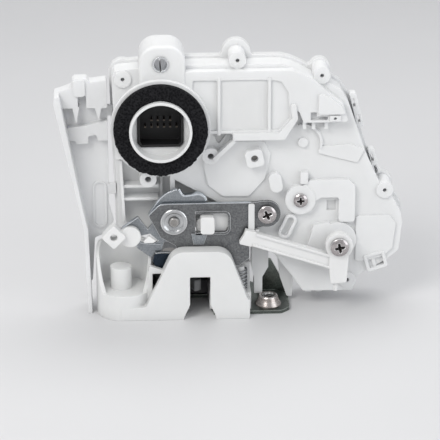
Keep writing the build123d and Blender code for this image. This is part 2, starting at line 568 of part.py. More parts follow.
def make_lock_lever():
    """The lock lever: a toothed sector, a hub and the arm whose pin drives the link."""
    to_wheel = degrees(atan2(WHEEL_Z - PIVOT_Z, WHEEL_X - PIVOT_X))
    step = 360.0 / SECTOR_TEETH
    # the rest mesh puts a gap of the sector on the pinion's first tooth
    teeth = tooth_wheel(SECTOR_TEETH, SECTOR_R, PINION_MODULE, to_wheel + step / 2)
    wedge = make_face(Polyline((0, 0), *[(40 * cos(radians(to_wheel + b)), 40 * sin(radians(to_wheel + b)))
                                         for b in (-22, 0, 29)], close=True))
    face = Pos(PIVOT_X, PIVOT_Z) * ((teeth & wedge) + Circle(5.5))
    pin_x, pin_z = lock_pin_at(LOCK_REST)
    face += strip(PIVOT_X, PIVOT_Z, pin_x, pin_z, 6.5)
    body = slab(face, LEVER_FRONT, LEVER_FRONT + LEVER_THICK)
    body += disc(pin_x, pin_z, 2.0, LINK_FRONT + 0.5, LEVER_FRONT + 1)
    return body - disc(PIVOT_X, PIVOT_Z, AXLE_R + 0.5 + RUNNING, -20, 30)


def make_axle(x, z, r, front, back):
    """A plain steel axle pressed into the housing."""
    return disc(x, z, r, front, back)


# ================================================================ housing
def shell_outline():
    """Outline of the joint flange round the gear case, without its lugs."""
    points = ((-48.7, 138.0), (-46.6, 141.6), (-43.2, 142.8), (-34.0, 143.4), (-7.2, 145.0), (45.8, 145.0),
              (51.0, 143.6), (56.5, 141.2), (62.5, 137.8), (73.5, 133.0), (79.3, 129.4),
              (84.0, 121.5), (95.1, 89.6), (101.5, 75.6), (109.4, 66.0), (114.8, 56.0),
              (115.6, 50.0), (114.0, 33.0), (107.3, 26.8), (90.0, 17.0), (88.0, 8.0), (58.0, 8.0),
              (52.0, 17.0), (36.0, 38.0), (2.0, 44.0), (-46.0, 44.0))
    return outline(points, 2.0)


def flange_outline():
    """The joint flange with its screw lugs."""
    face = shell_outline()
    for x, z, r in LUGS:
        face += Pos(x, z) * Circle(r)
    return offset(offset(face, LUG_FILLET), -LUG_FILLET)


def cavity_outline():
    """The inside of the gear case."""
    points = ((0.0, 103.0), (0.0, 141.3), (45.0, 141.3), (54.0, 138.0), (72.0, 128.6), (75.6, 126.0),
              (79.5, 119.5), (90.6, 88.0), (93.0, 76.0), (99.5, 63.0), (107.0, 54.5), (111.0, 50.0),
              (109.5, 35.2), (104.5, 30.8), (84.0, 21.0), (60.0, 21.0), (44.0, 41.5), (19.0, 48.0),
              (12.0, 50.0), (12.0, 90.0))
    return outline(points, 2.5)


def recess_outline():
    """The open bay behind the bracket, where the levers swing."""
    return outline(((-50.0, 40.0), (-50.0, 90.0), (-20.0, 90.0), (-12.8, 77.4), (15.7, 61.0),
                    (15.7, 40.0)), 1.0)


def make_front_housing():
    """The front half of the case: shell, motor box, bulges, ribs, bosses and connector barrel."""
    body = slab(offset(shell_outline(), -RIM), HOUSING_FRONT, SPLIT)
    body += slab(flange_outline(), SPLIT - 2.5, SPLIT)
    body -= slab(recess_outline(), HOUSING_FRONT - 10, 3.0)
    body += motor_box() + gear_bulge()
    body -= slab(cavity_outline(), HOUSING_FRONT + WALL, SPLIT + 1)
    body -= block(MOTOR_X0 - 4.5, MOTOR_X1 + 3.0, MOTOR_BOX_FRONT + WALL, SPLIT + 1, 105.0, 133.0)
    body -= slab(pin_slot(), HOUSING_FRONT - 10, SPLIT + 1)
    for x, z, r in LUGS:
        body += disc(x, z, BOSS_R, HOUSING_FRONT - 1.2, SPLIT)
    for x, z in INNER_BOSSES:
        body += disc(x, z, BOSS_R, BULGE_FRONT - 3.0, SPLIT)
    body += cradles(MOTOR_BOX_FRONT + 1, DRIVE_Y - MOTOR_FLAT / 2)
    body += top_block() + barrel()
    body += bay_ribs() + face_ribs() + edge_clips() + screw_bosses() + feet()
    body += disc(PIVOT_X, PIVOT_Z, BOSS_R, HOUSING_FRONT - 3.0, LEVER_FRONT - GAP)
    post = Pos(PIVOT_X, PIVOT_Z) * Rot(0, 0, 12) * RectangleRounded(POST_SIDE, POST_SIDE, 2.4)
    body += slab(post, BULGE_FRONT - 4.6, BULGE_FRONT + 1)
    body += disc(WHEEL_X, WHEEL_Z, 2.8, HOUSING_FRONT - 1.2, WHEEL_FRONT - GAP)
    for x, z, r in LUGS:
        body -= disc(x, z, PILOT_R, HOUSING_FRONT - 2, SPLIT + 1)
    for x, z in INNER_BOSSES:
        body -= disc(x, z, PILOT_R + 0.6, BULGE_FRONT - 4, SPLIT - WALL)
    body -= face_recesses()
    body -= disc(PIVOT_X, PIVOT_Z, AXLE_R + 0.5, BULGE_FRONT - 6, SPLIT + 1)
    body -= disc(WHEEL_X, WHEEL_Z, AXLE_R, HOUSING_FRONT + 0.6, SPLIT + 1)
    body -= barrel_bore() + disc(BUSH_X, BUSH_Z, BUSH_R, -30, 30)
    body -= screw_pilots()
    return body - make_seal()


def motor_box():
    """The raised box over the motor and worm."""
    face = outline(((-8.0, 104.0), (-8.0, 141.5), (52.0, 141.5), (62.0, 136.5), (72.0, 127.5), (79.0, 122.0),
                    (82.0, 111.5), (57.5, 111.5), (53.5, 121.0), (47.0, 102.0), (18.5, 102.0), (18.5, 106.0),
                    (2.0, 106.0)), 1.5)
    body = slab(face, MOTOR_BOX_FRONT, HOUSING_FRONT + 1)
    return body


def cradles(front, back):
    """The two ribs in which the motor's can lies."""
    body = Part()
    for x in (MOTOR_X0 + 4.0, MOTOR_X1 - 6.0):
        body += block(x, x + RIB, front, back, WORM_Z - 9.0, WORM_Z + 9.0)
    return body


def gear_bulge():
    """The smooth bulge over the lock lever."""
    face = outline(((2.7, 92.0), (2.7, 84.0), (5.0, 74.0), (13.0, 67.3), (28.0, 67.0), (37.0, 77.5),
                    (40.0, 92.0), (36.0, 100.0), (18.0, 100.0), (9.5, 92.0)), 3.0)
    body = slab(face, BULGE_FRONT, HOUSING_FRONT + 1)
    return fillet(body.edges().group_by(Axis.Y)[0], 0.8)


def pin_slot():
    """The slot through which the lock lever's pin reaches the link."""
    x0, z0 = lock_pin_at(LOCK_REST)
    x1, z1 = lock_pin_at(LOCK_REST + LOCK_TURN)
    left, right, low, high = x0 - 4.0, x1 + 4.0, z1 - 4.5, z0 + 4.0
    return outline(((left, low), (right, low), (right, high), (left, high)), 1.5)


def top_block():
    """The block at the top that holds the upper bush."""
    x0, x1, z0, z1 = TOP_BLOCK
    face = outline(((x0, z0 - 14), (x0, z1), (x1, z1), (x1, z0 - 14)), (0.5, 9.5, 9.5, 0.5))
    body = slab(face, BRACKET_FRONT, SPLIT)
    return fillet(body.edges().filter_by(GeomType.CIRCLE).group_by(Axis.Y)[0], 1.5)


def barrel():
    """The connector's barrel, its disc for the foam seal and its inner tube."""
    body = ring(SOCKET_X, SOCKET_Z, NECK_R, NECK_R - WALL, DISC_BACK - 1, SPLIT)
    body += disc(SOCKET_X, SOCKET_Z, DISC_R, DISC_BACK - DISC_THICK, DISC_BACK)
    body += disc(SOCKET_X, SOCKET_Z, TUBE_R, TUBE_FRONT, DISC_BACK)
    body += disc(SOCKET_X, SOCKET_Z, NECK_R, HOUSING_FRONT, SPLIT - WALL)
    return body


def barrel_bore():
    """The space inside the connector's tube: a round mouth, then the D-shaped pocket of the insert."""
    body = disc(SOCKET_X, SOCKET_Z, TUBE_BORE, TUBE_FRONT - 1, INSERT_FRONT)
    return body + slab(offset(insert_outline(), SEAT), INSERT_FRONT - 1, SOCKET_SEAT)


def insert_outline():
    """The D of the connector's insert."""
    flat, top = SOCKET_Z - 10.6, SOCKET_Z + TUBE_BORE
    window = make_face(Polyline((SOCKET_X - INSERT_HALF, flat), (SOCKET_X + INSERT_HALF, flat),
                                (SOCKET_X + INSERT_HALF, top), (SOCKET_X - INSERT_HALF, top), close=True))
    return (Pos(SOCKET_X, SOCKET_Z) * Circle(TUBE_BORE - 0.6)) & window


def bay_ribs():
    """Ribs in the open bay on the left."""
    body = rib(-43.0, 88.0, -41.5, 53.0, -6.0, 4.0)
    for z in (65.5, 73.0):
        body += rib(-41.0, z, -23.0, z, -5.0, 4.0)
    body += rib(-20.5, 50.0, -20.5, 80.0, 0.0, 4.0)
    body += block(-15.8, -13.2, HOUSING_FRONT, 4.0, 71.5, 84.0)
    return body


def face_ribs():
    """Ribs on the face of the case."""
    front = MOTOR_BOX_FRONT
    body = Part()
    for x in (11.0, 38.5):
        body += rib(x, 106.0, x, 137.0, front - 0.3, front + 2, 1.6)
    body += rib(19.0, 101.0, 9.0, 91.5, front, HOUSING_FRONT + 1, 2.2)
    body += slab(outline(((18.6, 102.2), (18.6, 106.4), (44.0, 106.4), (51.0, 114.5), (50.0, 122.6),
                          (53.0, 122.6), (54.2, 114.0), (47.0, 102.2)), 0.8), front - 1.3, front + 1)
    body += slab(outline(((65.4, 116.4), (65.4, 128.5), (71.5, 126.4), (78.3, 120.8), (80.4, 116.4)), 1.0),
                 front - 1.4, front + 1)
    body += block(71.6, 77.6, front - 1.4, front + 1, 112.4, 115.6)
    front = HOUSING_FRONT
    for x in (58.0, 63.0, 70.0):
        body += rib(x, 108.0, x, 112.0, front - 4.0, front + 1, 2.0)
    body += slab(outline(((84.0, 97.0), (92.0, 94.0), (88.0, 86.0), (66.0, 92.0), (67.0, 96.0)), 1.0),
                 front - 0.9, front + 1)
    arc = Pos(WHEEL_X, WHEEL_Z) * (Circle(10.8) - Circle(9.4))
    left, right, top = WHEEL_X - 3, WHEEL_X + 13, WHEEL_Z + 13
    arc &= make_face(Polyline((left, WHEEL_Z), (left, top), (right, top), (right, WHEEL_Z - 4), close=True))
    body += slab(arc, front - 1.6, front + 1)
    body += slab(outline(((88.0, 27.6), (88.0, 54.6), (107.0, 54.6), (110.4, 50.0), (108.8, 35.0),
                          (103.8, 30.2), (94.0, 27.6)), 1.6), front - 1.2, front + 1)
    body += slab(outline(((59.0, 30.5), (64.0, 50.0), (74.0, 52.0), (70.0, 38.0), (66.0, 30.0)), 1.5),
                 front - 3.0, front + 1)
    body += slab(Pos(49.5, 49.5) * Rot(0, 0, 66) * (SlotOverall(15.0, 7.0) - SlotOverall(11.5, 3.6)),
                 front - 2.5, front + 1)
    body += slab(Pos(42.6, 76.0) * SlotOverall(11.5, 7.0, rotation=100), front - 4.0, front + 1)
    body += slab(outline(((SCREW3_X, 59.0), (SCREW3_X, 73.0), (62.0, 76.8), (83.5, 76.8), (87.0, 73.0),
                          (87.0, 51.8), (78.0, 51.8), (78.0, 66.5), (68.0, 66.5)), 1.6),
                 front - 3.0, front + 1)
    body += rib(58.4, 77.0, 58.4, 79.5, front - 3.5, front + 1, 4.2)
    return body


def face_recesses():
    """Sunk fields and small holes on the face of the case."""
    body = slab(outline(((61.2, 112.8), (61.2, 117.4), (64.6, 117.4), (64.6, 115.0), (70.6, 115.0),
                         (70.6, 112.8)), 0.5), MOTOR_BOX_FRONT - 1, MOTOR_BOX_FRONT + 3.0)
    body += disc(74.6, 114.0, 0.8, MOTOR_BOX_FRONT - 3, MOTOR_BOX_FRONT + 2)
    for corners in (((11.9, 107.6), (37.6, 107.6), (37.6, 136.4), (11.9, 136.4)),
                    ((39.4, 107.6), (43.6, 107.6), (49.6, 114.6), (49.0, 129.0), (45.0, 135.2), (39.4, 136.4)),
                    ((-3.4, 107.6), (10.1, 107.6), (10.1, 136.4), (-3.4, 136.4))):
        body += slab(outline(corners, 1.0), MOTOR_BOX_FRONT - 0.01, MOTOR_BOX_FRONT + PANEL_DEPTH)
    front, floor = HOUSING_FRONT - 1, HOUSING_FRONT + 1.3
    body += slab(outline(((7.4, 105.4), (16.6, 105.4), (11.0, 98.0)), 0.6), front, floor)
    return body + block(71.5, 76.6, front, floor, 57.9, 64.0)


def edge_clips():
    """The two snap clips and the cable clip along the right-hand edge."""
    body = Part()
    for corners, slots in EDGE_CLIPS:
        body += slab(outline(corners, 1.0), SPLIT - 7.5, SPLIT - 2.0)
        for x, z in slots:
            body -= slab(Pos(x, z) * Rot(0, 0, CLIP_LEAN) * Rectangle(1.4, 4.6), SPLIT - 8, SPLIT)
    holder = outline(CABLE_CLIP, 1.2)
    body += slab(holder, HOUSING_FRONT - 2.0, SPLIT - 2.0)
    body -= slab(offset(holder, -1.8), HOUSING_FRONT - 3.0, HOUSING_FRONT + 3.0)
    bar = strip(97.2, 31.0, 99.8, 22.8, 1.8)
    body += slab(bar & holder, HOUSING_FRONT - 1.0, HOUSING_FRONT + 4.0)
    return body


def screw_bosses():
    """The raised seats of the three screws on the face."""
    body = disc(SCREW3_X, SCREW3_Z, 8.5, HOUSING_FRONT - 3.4, HOUSING_FRONT + 1)
    body += disc(INNER_X, INNER_Z, 10.5, HOUSING_FRONT - 3.0, HOUSING_FRONT + 1)
    body += disc(INNER_X, INNER_Z, 3.1, LEVER_SCREW_FACE - 0.2, HOUSING_FRONT)
    body += disc(INNER_X, INNER_Z, 6.0, LEVER_SCREW_FACE + 4.8, HOUSING_FRONT)
    body += disc(SCREW1_X, SCREW1_Z, 3.6, BRACKET_BACK, SPLIT - 2)
    body += slab(outline(((27.2, 46.0), (30.6, 46.0), (30.6, 65.3), (27.2, 65.3)), 0.8),
                 BRACKET_FRONT - 1.2, BRACKET_FRONT)
    body += block(31.2, 33.2, BRACKET_FRONT - 1.2, HOUSING_FRONT + 1, 46.0, 50.0)
    body += block(27.2, 33.2, BRACKET_FRONT - 1.2, BRACKET_FRONT, 46.0, 48.5)
    for x, z in ((SCREW3_X, SCREW3_Z), (INNER_X, INNER_Z)):
        body += disc(x, z, 4.4, HOUSING_FRONT, SPLIT - 2)
    return body


def screw_pilots():
    """Pilot holes of the three screws on the face."""
    body = disc(SCREW3_X, SCREW3_Z, 1.7, -30, 4.0)
    body += disc(INNER_X, INNER_Z, 2.1, -30, 4.0)
    return body + disc(SCREW1_X, SCREW1_Z, 2.1, -30, 4.0)


def feet():
    """The legs that stand the case on the mounting plate, and the lower clips."""
    side = BODY_HALF + 0.9
    leg = outline(((side, 40.0), (side, 22.0), (side + 1.6, 15.0), (side + 1.6, 6.0), (side + 6.3, 6.0),
                   (side + 6.3, 16.0), (side + 9.6, 22.0), (side + 9.6, 40.0)), 0.8)
    body = slab(leg, -2.0, 6.0)
    fin = outline(((44.5, 30.0), (54.0, 20.0), (53.5, 2.2), (50.5, 2.2), (46.5, 14.0)), 0.8)
    body += slab(fin, 2.0, 5.0)
    for x in (61.0, 67.0):
        body += slab(outline(((x, 4.5), (x + 3.5, 4.5), (x + 3.5, 10.0), (x, 10.0)), 0.5), 2.0, SPLIT)
    return body


def make_rear_cover():
    """The back half of the case, with ribs, a bulge over the motor and screw seats."""
    body = slab(offset(shell_outline(), -RIM), SPLIT, COVER_SHOULDER)
    body += slab(offset(shell_outline(), -RIM - COVER_STEP), COVER_SHOULDER - 1, COVER_BACK)
    body += slab(flange_outline(), SPLIT, SPLIT + 2.5)
    low_bay = outline(((-60.0, 30.0), (-60.0, 100.0), (-4.0, 100.0), (-4.0, 56.0), (20.0, 50.0),
                       (45.0, 34.0), (45.0, 30.0)), 2.0)
    body -= slab(low_bay, SPLIT + 3.0, COVER_BACK + 1)
    body -= slab(offset(cavity_outline(), 0.01), SPLIT - 1, COVER_SHOULDER - WALL)
    body -= slab(offset(cavity_outline(), -COVER_STEP), SPLIT - 1, COVER_BACK - WALL)
    for x, z, r in LUGS:
        body += disc(x, z, r - 1.4, SPLIT, SPLIT + 5.0)
    for x, z in INNER_BOSSES:
        body -= disc(x, z, 4.0, SPLIT + 6.0, COVER_BACK + 1)
    body += ring(PIVOT_X, PIVOT_Z, BOSS_R, AXLE_R + 0.5, LEVER_FRONT + LEVER_THICK + GAP, COVER_BACK)
    body += ring(WHEEL_X, WHEEL_Z, 4.5, AXLE_R, LEVER_FRONT + LEVER_THICK + 0.4 + GAP, COVER_BACK)
    body += cradles(DRIVE_Y + MOTOR_FLAT / 2, COVER_BACK - 1)
    for i in range(7):
        x = 4.0 + 14.0 * i
        body += rib(x, 60.0, x, 118.0, COVER_BACK - 1, COVER_BACK + 1.6) & slab(
            offset(shell_outline(), -RIM - 5), COVER_BACK - 2, COVER_BACK + 3)
    for z in (66.0, 90.0, 112.0):
        body += rib(0.0, z, 110.0, z, COVER_BACK - 1, COVER_BACK + 1.6) & slab(
            offset(shell_outline(), -RIM - 5), COVER_BACK - 2, COVER_BACK + 3)
    for x, z, r in LUGS:
        body -= disc(x, z, PILOT_R + 0.4, SPLIT - 1, COVER_BACK + 2)
        body -= disc(x, z, HEAD_R + 0.6, SPLIT + 5.0, COVER_BACK + 2)
    body -= disc(BUSH_X, BUSH_Z, BUSH_R + 3, SPLIT - 1, COVER_BACK + 5)
    return body - make_seal()


def make_seal():
    """The rubber cord that seals the joint round the gear case."""
    outer = offset(cavity_outline(), 2.6)
    inner = offset(cavity_outline(), 1.2)
    return slab(outer - inner, SPLIT - 1.0, SPLIT + 0.6)


def make_socket():
    """The connector's black insert: a D-shaped shroud with a contact floor."""
    body = slab(insert_outline(), INSERT_FRONT - 1.0, SOCKET_SEAT)
    return body - slab(offset(insert_outline(), -1.4), INSERT_FRONT - 2.0, SOCKET_SEAT - 2.0)


def make_pins():
    """Two rows of contact blades in the connector."""
    pins = []
    for row, count in ((3.2, 4), (-0.6, 6)):
        for i in range(count):
            x = SOCKET_X + 0.4 + (i - (count - 1) / 2) * 3.4
            z = SOCKET_Z + row
            pins.append(block(x - 0.5, x + 0.5, INSERT_FRONT + 3.5, SOCKET_SEAT - 2.0, z - 0.35, z + 0.35))
    return Compound(children=pins)


def make_foam():
    """The foam ring that seals the connector to the door."""
    return ring(SOCKET_X, SOCKET_Z, FOAM_R, TUBE_R + 0.05, DISC_FRONT - FOAM_THICK, DISC_FRONT)


def make_bush():
    """The rolled steel bush in the top block, with its slit."""
    body = ring(BUSH_X, BUSH_Z, BUSH_R, BUSH_BORE, BRACKET_FRONT - 0.6, SPLIT)
    return body - block(BUSH_X - 0.4, BUSH_X + 0.4, -30, 30, BUSH_Z - BUSH_R - 1, BUSH_Z - BUSH_BORE + 0.5)


def make_shield():
    """The thin guard at the left side: upper block with hanging tabs, band, panel and edge flange."""
    face = outline(((-79.2, 124.0), (-75.0, 108.0), (-66.5, 63.5), (-64.0, 49.0), (-62.6, 14.0), (-59.8, 14.0),
                    (-58.0, 40.0), (-51.0, 43.0), (-47.4, 50.0), (-49.8, 60.0), (-49.8, 133.6),
                    (-62.0, 132.5)), 1.0)
    body = slab(face, GUARD_FACE, GUARD_BACK)
    upper = outline(((-79.2, 124.0), (-78.6, 127.4), (-75.3, 128.4), (-69.0, 130.8), (-69.0, 134.2),
                     (-67.4, 135.4), (-61.0, 135.4), (-59.2, 133.4), (-49.8, 134.6), (-49.8, 118.6),
                     (-77.6, 118.6)), 1.2)
    window = outline(((-65.8, 117.0), (-61.2, 117.0), (-61.2, 125.6), (-65.8, 125.6)), 0.8)
    body += slab(upper - window, GUARD_FRONT, GUARD_BACK)
    post = Pos(-64.9, 130.2) * RectangleRounded(6.4, 9.6, 2.0)
    body += slab(post, GUARD_FRONT - 1.0, GUARD_FRONT + 1)
    for x, low in ((-67.2, 110.4), (-54.9, 112.0)):
        tab = make_face(Polyline((x - 1.9, 119.5), (x + 2.2, 119.5), (x + 0.7, low), (x, low), close=True))
        body += slab(tab, GUARD_FRONT, GUARD_FACE + 1)
    band = outline(((-75.0, 105.5), (-70.4, 106.8), (-62.2, 107.6), (-55.0, 109.4), (-49.8, 110.6),
                    (-49.8, 99.0), (-55.0, 98.8), (-56.3, 102.4), (-60.4, 101.4), (-60.8, 97.4), (-67.1, 97.0),
                    (-67.6, 99.0), (-74.4, 98.6)), 0.6)
    body += slab(band, GUARD_FRONT + 2.5, GUARD_FACE + 1)
    body += slab(outline(((-79.2, 124.0), (-78.6, 127.4), (-76.0, 127.8), (-64.5, 63.5), (-61.6, 49.2),
                          (-60.2, 0.0), (-62.6, 0.0), (-64.0, 49.2), (-66.5, 63.5)), 0.5),
                 EDGE_FRONT, GUARD_BACK)
    loop = SlotOverall(28.0, 8.0, rotation=90) - SlotOverall(25.6, 5.6, rotation=90)
    body += slab(Pos(-54.9, 60.0) * loop, GUARD_FACE - 0.8, GUARD_FACE + 0.5)
    for z in SHIELD_CLIPS:
        wall = -47.0 + 2.5 * (139.0 - z) / 95.0
        body += block(-52.0, wall - 2 * GAP, GUARD_FACE, SPLIT - 2.5, z, z + 6.0)
    return body


def screw(x, z, face_y, head_r, head_h, shank_r, length):
    """A pan-head screw driven along +Y, its head in front of face_y."""
    head = disc(x, z, head_r, face_y - head_h, face_y)
    head = fillet(head.edges().group_by(Axis.Y)[0], head_h * 0.55)
    cross = Rectangle(head_r * 1.0, head_r * 0.24) + Rectangle(head_r * 0.24, head_r * 1.0)
    head -= slab(Pos(x, z) * cross, face_y - head_h - 1, face_y - head_h * 0.35)
    return head + disc(x, z, shank_r, face_y, face_y + length)


def make_cover_screws():
    """The screws that hold the rear cover, driven from behind."""
    screws = []
    for x, z, r in LUGS:
        seat = SPLIT + 5.0
        head = disc(x, z, HEAD_R, seat, seat + 2.2)
        head = fillet(head.edges().group_by(Axis.Y)[-1], 1.0)
        screws.append(head + disc(x, z, PILOT_R, HOUSING_FRONT + 2.0, seat))
    return Compound(children=screws)


def make_switch():
    """The position switch beside the lock lever."""
    seat = HOUSING_FRONT + WALL
    body = block(66.0, 78.0, seat, seat + 6.0, 74.0, 80.0)
    return body + disc(68.5, 80.4, 1.0, seat + 2.0, seat + 4.0)


def make_strips():
    """The stamped strips that lead from the connector to the motor and the switch."""
    back = COVER_BACK - WALL
    upper = slab(outline(((6.5, 131.0), (40.0, 131.0), (40.0, 134.0), (6.5, 134.0)), 0.5), back - 0.8, back)
    lower = slab(outline(((60.0, 60.0), (80.0, 60.0), (80.0, 63.0), (60.0, 63.0)), 0.5), back - 0.8, back)
    return Compound(children=[upper, lower])


# ================================================================ all nodes
def build():
    """Every piece, by name."""
    return {
        "face_plate": make_face_plate(),
        "latch_body": make_latch_body(),
        "back_plate": make_back_plate(),
        "lever_bracket": make_lever_bracket(),
        "fork": make_fork(),
        "pawl": make_pawl(),
        "fork_pin": shouldered_pin(FORK_X, FORK_Y),
        "pawl_pin": shouldered_pin(PAWL_X, PAWL_Y),
        "striker_bumper": make_bumper(),
        "fork_spring": coil(FORK_X, FORK_Y, SPRING_LOW + 0.6, PIN_R + 1.3, 0.6, 1.6, 3.5),
        "pawl_spring": coil(PAWL_X, PAWL_Y, SPRING_LOW + 0.5, PIN_R + 1.1, 0.5, 1.6, 3.5),
        "return_spring": coil(SPRING_X, SPRING_Y, SPRING_FLOOR + 0.8, SPRING_R, 0.55, 2.2, 5.5),
        "outside_lever": make_outside_lever(),
        "rod_clip": make_rod_clip(),
        "lever_rivet": make_lever_rivet(),
        "lock_link": make_lock_link(),
        "inside_lever": make_inside_lever(),
        "worm_wheel": make_worm_wheel(),
        "drive_worm": make_drive_worm(),
        "motor_shaft": make_motor_shaft(),
        "motor_can": make_motor_can(),
        "motor_cap": make_motor_cap(),
        "lock_lever": make_lock_lever(),
        "wheel_axle": make_axle(WHEEL_X, WHEEL_Z, AXLE_R, HOUSING_FRONT + 0.6, COVER_BACK - WALL),
        "lever_axle": make_axle(PIVOT_X, PIVOT_Z, AXLE_R + 0.5, HOUSING_FRONT - 2.4, COVER_BACK - WALL),
        "front_housing": make_front_housing(),
        "rear_cover": make_rear_cover(),
        "housing_seal": make_seal(),
        "connector_socket": make_socket(),
        "connector_pins": make_pins(),
        "foam_ring": make_foam(),
        "top_bush": make_bush(),
        "side_shield": make_shield(),
        "bracket_screw": screw(SCREW1_X, SCREW1_Z, BRACKET_FRONT, 5.15, 2.9, 2.1, 16.0),
        "retainer_screw": screw(SCREW3_X, SCREW3_Z, HOUSING_FRONT - 3.4, 3.95, 2.4, 1.7, 13.0),
        "lever_screw": screw(INNER_X, INNER_Z, LEVER_SCREW_FACE - 0.2, 5.15, 2.9, 2.1, 22.0),
        "cover_screws": make_cover_screws(),
        "position_switch": make_switch(),
        "contact_strips": make_strips(),
    }


os.makedirs("parts", exist_ok=True)
for name, shape in build().items():
    export_step(shape, os.path.join("parts", name + ".step"))
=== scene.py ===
import math

import bmesh
import bpy
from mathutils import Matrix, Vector, noise


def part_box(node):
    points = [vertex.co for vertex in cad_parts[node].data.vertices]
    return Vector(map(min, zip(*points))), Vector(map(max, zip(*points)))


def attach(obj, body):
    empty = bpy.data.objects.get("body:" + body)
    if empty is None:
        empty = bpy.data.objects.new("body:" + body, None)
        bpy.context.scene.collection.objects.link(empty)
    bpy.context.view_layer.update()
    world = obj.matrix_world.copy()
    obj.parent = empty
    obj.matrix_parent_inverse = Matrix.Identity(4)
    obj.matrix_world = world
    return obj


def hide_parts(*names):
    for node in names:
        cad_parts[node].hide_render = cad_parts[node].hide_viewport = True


# ---------------------------------------------------------------- camera
AIM = (0.0110, -0.0240, 0.0594)
DISTANCE = 1.2
SIDE = math.radians(-3.0)
RISE = math.radians(21.0)
LENS = 178.5
SENSOR = 36.0
NEAREST = 0.05

# ---------------------------------------------------------------- floor and light
FLOOR_TONE = 0.68
SWEEP_HALF = 4.0        # half the paper's width
SWEEP_START = -3.0
BEND_START, BEND_RADIUS, BEND_STEPS = 1.2, 0.8, 12
SWEEP_TOP = 3.5
SKY_TONE = (0.97, 0.98, 1.0, 1.0)
SKY_STRENGTH = 0.62
# name, place, size, power and tint of each soft light
LIGHTS = (
    ("key", (-0.55, -0.75, 0.95), (0.55, 0.55), 7.0, (1.0, 0.985, 0.96)),
    ("fill", (0.85, -0.60, 0.35), (0.7, 0.7), 2.6, (0.94, 0.97, 1.0)),
    ("top", (0.10, 0.35, 0.95), (0.8, 0.5), 3.6, (1.0, 1.0, 1.0)),
)

# ---------------------------------------------------------------- materials
EVEN = (1.0, 1.0, 1.0)  # stretch of a grain that runs no way in particular
EDGE_PALE = 0.93        # the palest that the painted highlight on a plastic edge gets
EDGE_BRIGHT = 0.90      # the brightest that the painted highlight on a steel edge gets
PLASTIC_REACH = 0.007   # how far the painted shade in a recess reaches on the plastic
# how far the painted shade in a recess reaches on the steel
STEEL_REACH = 0.004
PLATING_DEPTH = 0.00002
FLECKS = 1300.0
FINE_GRAIN = 900.0

# ---------------------------------------------------------------- pressed details, X and Z in mm
MM = 0.001
ROLLED = 0.00022        # radius of a rolled sheet edge
BLADE_ROLLED = 0.0003
LIP_STEPS = 6
HORN_EDGE = ((-28.0, 58.9), (-24.6, 64.0), (-21.8, 67.9), (-17.6, 71.4), (-12.2, 73.5))
HORN_LIP = ((-11.2, 73.7), (-10.1, 71.6), (-8.6, 69.8), (-4.4, 69.9), (-0.2, 70.5), (2.8, 68.9),
            (4.1, 66.6))
# a hair-thin slit, hidden behind the bracket, joins the rivet's hole to the blade's outline
RIVET_X, RIVET_Z, RIVET_HOLE = -14.05, 55.3, 3.05
SLIT_TURN, HOLE_TURN, HOLE_STEPS = 0.01, 6.2632, 36
HOLE = tuple((RIVET_X + RIVET_HOLE * math.cos(turn), RIVET_Z - RIVET_HOLE * math.sin(turn))
             for turn in (-SLIT_TURN - HOLE_TURN * i / HOLE_STEPS for i in range(HOLE_STEPS + 1)))
BLADE = HORN_EDGE + HORN_LIP + ((4.0, 66.0), (-4.0, 63.0), (-6.05, 55.33)) + HOLE + (
    (-6.05, 55.27), (-12.0, 47.2), (-14.3, 45.0), (-19.5, 42.4), (-20.8, 37.6), (-25.0, 35.2),
    (-26.6, 33.0), (-35.0, 39.4), (-34.7, 43.2), (-30.8, 42.2), (-24.8, 42.0), (-23.0, 43.4),
    (-27.4, 47.6), (-31.7, 46.6), (-36.5, 46.8), (-42.4, 48.6), (-43.4, 50.8), (-33.9, 57.9),
    (-28.6, 50.4), (-26.4, 53.5))
BLADE_FRONT, BLADE_BACK = -12.85, -10.9
BRACKET_EDGE = ((-28.0, 59.3), (-25.0, 62.3), (-22.2, 64.9), (-17.5, 65.8), (6.0, 65.8),
                (28.6, 65.8))
ARM_LIP = ((-42.8, 51.4), (-38.0, 54.9), (-34.2, 57.6))
LOBE_LIP = ((-34.6, 39.8), (-34.4, 43.0), (-30.8, 42.0), (-21.6, 41.4))
BUFFER = ((-31.4, 43.0), (-28.0, 46.4), (-24.0, 43.4), (-25.6, 42.2), (-30.4, 42.2))
WINDOW_TAB = ((-4.6, 48.4), (4.6, 48.4), (2.5, 41.8), (-3.4, 41.8))
DETENT_ARM = ((-25.3, 35.0), (-24.2, 36.4), (-16.4, 36.2), (-13.6, 35.0), (-13.6, 26.2),
              (-22.6, 26.2), (-24.3, 28.4), (-26.0, 32.2))
DETENT_LIP = ((-24.6, 36.6), (-20.0, 37.0), (-16.4, 36.7), (-13.7, 35.4))
# zinc_highlight is a brighter copy of the plated zinc, a painted highlight: the horn, arm and lobe
# lips are real rolled lips painted with it, and bracket_edge is only a painted highlight along the
# bracket's top edge
# name, path, thickness, front, back, body and material of each rolled lip
LIPS = (
    ("horn_edge", HORN_EDGE, 0.7, -12.9, -10.4, "outside_release", "zinc_highlight"),
    ("horn_lip", HORN_LIP, 1.2, -12.9, -9.3, "outside_release", "zinc_highlight"),
    ("arm_lip", ARM_LIP, 0.6, -14.0, BLADE_BACK, "outside_release", "zinc_highlight"),
    ("lobe_lip", LOBE_LIP, 0.5, -13.4, BLADE_BACK, "outside_release", "zinc_highlight"),
    ("bracket_edge", BRACKET_EDGE, 0.5, -15.1, -13.05, "root", "zinc_highlight"),
    # detent_lip: a paler strip along the detent arm's top fold, partly the fold and partly a
    # painted highlight
    ("detent_lip", DETENT_LIP, 0.8, -14.9, -13.05, "root", "zinc_lever"),
)
